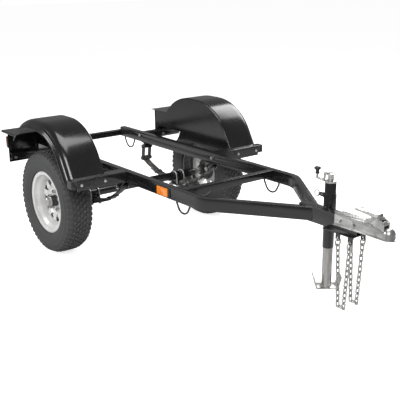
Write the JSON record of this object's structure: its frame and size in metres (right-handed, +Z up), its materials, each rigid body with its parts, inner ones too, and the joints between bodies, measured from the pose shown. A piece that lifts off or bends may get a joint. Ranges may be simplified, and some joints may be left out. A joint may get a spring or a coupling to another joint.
{
  "type": "tow behind cart",
  "caption": "Tow-behind cart chassis: bent-rail frame on a sprung axle with fenders, lights, ball coupler, safety chains and a screw jack.",
  "frame": {"origin": "on the ground, under the middle of the whole outline", "axes": "+X forward towards the coupler, +Y to the trailer's left, +Z up"},
  "size_m": [2.7011, 1.38, 0.792],
  "materials": {
    "black_paint": "gloss powder coat",
    "black_plastic": "moulded, slightly grained",
    "red_lens": "clear moulded, ribbed inside",
    "amber_lens": "clear moulded, ribbed inside",
    "zinc_plate": "bright zinc plate",
    "spring_steel": "thin dark paint on spring steel",
    "turned_steel": "turned or drawn steel",
    "dark_steel": "dark phosphate coat",
    "tyre_rubber": "moulded tread and side walls",
    "white_paint": "gloss white enamel"
  },
  "bodies": {
    "frame": {"rail_left": "black_paint", "rail_right": "black_paint", "cross_tube_front": "black_paint", "cross_tube_rear": "black_paint", "tongue_tube": "black_paint", "fender_bracket_left": "black_paint", "fender_bracket_right": "black_paint", "fender_arms": "black_paint", "fender_left": "black_paint", "fender_right": "black_paint", "light_plates": "black_paint", "tail_light_bases": "black_plastic", "tail_light_lenses": "red_lens", "marker_bases": "black_plastic", "marker_lenses": "amber_lens", "bracket_bolts": "zinc_plate", "fender_bolts": "zinc_plate", "spring_hangers": "black_paint", "shackle_hangers": "black_paint", "hanger_bolts": "zinc_plate", "tie_down_loops": "black_paint", "chain_bracket": "black_paint", "jack_sleeve": "black_paint", "jack_tube": "black_paint", "jack_cap": "zinc_plate", "pin_housing": "black_paint", "coupler_body": "zinc_plate", "coupler_bolts": "zinc_plate"},
    "axle": {"leaf_spring_left": "spring_steel", "leaf_spring_right": "spring_steel", "axle_tube": "black_paint", "spindles": "turned_steel", "spindle_nuts": "zinc_plate", "spring_seats": "black_paint", "u_bolts": "zinc_plate", "spring_plates": "black_paint"},
    "shackle_left": {"shackle_left": "spring_steel"},
    "shackle_right": {"shackle_right": "spring_steel"},
    "wheel_left": {"tyre_left": "tyre_rubber", "rim_left": "white_paint", "hub_left": "dark_steel", "hub_cap_left": "turned_steel", "bearings_left": "turned_steel", "lug_nuts_left": "zinc_plate"},
    "wheel_right": {"tyre_right": "tyre_rubber", "rim_right": "white_paint", "hub_right": "dark_steel", "hub_cap_right": "turned_steel", "bearings_right": "turned_steel", "lug_nuts_right": "zinc_plate"},
    "jack_leg": {"jack_leg": "turned_steel"},
    "crank": {"jack_screw": "turned_steel", "crank": "zinc_plate"},
    "crank_knob": {"crank_knob": "black_plastic"},
    "pull_pin": {"pull_pin": "zinc_plate"},
    "latch_lever": {"latch_lever": "zinc_plate"},
    "latch_trigger": {"latch_trigger": "zinc_plate"},
    "latch_jaw": {"latch_jaw": "dark_steel"},
    "chain_left": {"chain_left": "zinc_plate"},
    "chain_right": {"chain_right": "zinc_plate"}
  },
  "joints": [
    {"name": "suspension", "type": "slide", "parent": "frame", "child": "axle", "axis": [0, 0, 1], "range_m": [-0.05, 0.06], "stiffness_N_per_m": 60000, "springref_m": -0.009, "deforming": ["leaf_spring_left", "leaf_spring_right"]},
    {"name": "shackle_left_swing", "type": "hinge", "parent": "frame", "child": "shackle_left", "pos_m": [-1.01107, 0.32265, 0.43728], "axis": [0, 1, 0], "range_deg": [-5, 6]},
    {"name": "shackle_right_swing", "type": "hinge", "parent": "frame", "child": "shackle_right", "pos_m": [-1.01107, -0.32265, 0.43728], "axis": [0, 1, 0], "range_deg": [-5, 6]},
    {"name": "wheel_left_spin", "type": "hinge", "parent": "axle", "child": "wheel_left", "pos_m": [-0.65845, 0.5685, 0.3045], "axis": [0, 1, 0], "continuous": true},
    {"name": "wheel_right_spin", "type": "hinge", "parent": "axle", "child": "wheel_right", "pos_m": [-0.65845, -0.5685, 0.3045], "axis": [0, 1, 0], "continuous": true},
    {"name": "crank_turn", "type": "hinge", "parent": "frame", "child": "crank", "pos_m": [0.91955, 0.0556, 0.664], "axis": [0, 0, 1], "range_deg": [-7920, 6840]},
    {"name": "jack_extend", "type": "slide", "parent": "frame", "child": "jack_leg", "axis": [0, 0, -1], "range_m": [-0.134, 0.115]},
    {"name": "knob_spin", "type": "hinge", "parent": "crank", "child": "crank_knob", "pos_m": [0.83255, 0.0556, 0.69], "axis": [0, 0, 1], "continuous": true},
    {"name": "pin_pull", "type": "slide", "parent": "frame", "child": "pull_pin", "axis": [-1, 0, 0], "range_m": [0, 0.016], "stiffness_N_per_m": 2000},
    {"name": "lever_lift", "type": "hinge", "parent": "frame", "child": "latch_lever", "pos_m": [1.26155, 0, 0.5638], "axis": [0, 1, 0], "range_deg": [0, 75]},
    {"name": "trigger_press", "type": "hinge", "parent": "frame", "child": "latch_trigger", "pos_m": [1.28655, 0, 0.5508], "axis": [0, 1, 0], "range_deg": [0, 12], "stiffness_Nm_per_rad": 1.5},
    {"name": "jaw_release", "type": "slide", "parent": "frame", "child": "latch_jaw", "axis": [-1, 0, 0], "range_m": [0, 0.0081]},
    {"name": "chain_left_swing", "type": "hinge", "parent": "frame", "child": "chain_left", "pos_m": [1.10255, 0.045, 0.43215], "axis": [1, 0, 0], "range_deg": [-4, 24]},
    {"name": "chain_right_swing", "type": "hinge", "parent": "frame", "child": "chain_right", "pos_m": [1.10255, -0.045, 0.43215], "axis": [1, 0, 0], "range_deg": [-24, 4]}
  ],
  "couplings": [
    {"joint": "shackle_left_swing", "follows": "suspension", "rad_per_m": 1.5},
    {"joint": "shackle_right_swing", "follows": "suspension", "rad_per_m": 1.5},
    {"joint": "jack_extend", "follows": "crank_turn", "m_per_rad": 0.00095493},
    {"joint": "jaw_release", "follows": "lever_lift", "m_per_rad": 0.0061115}
  ]
}
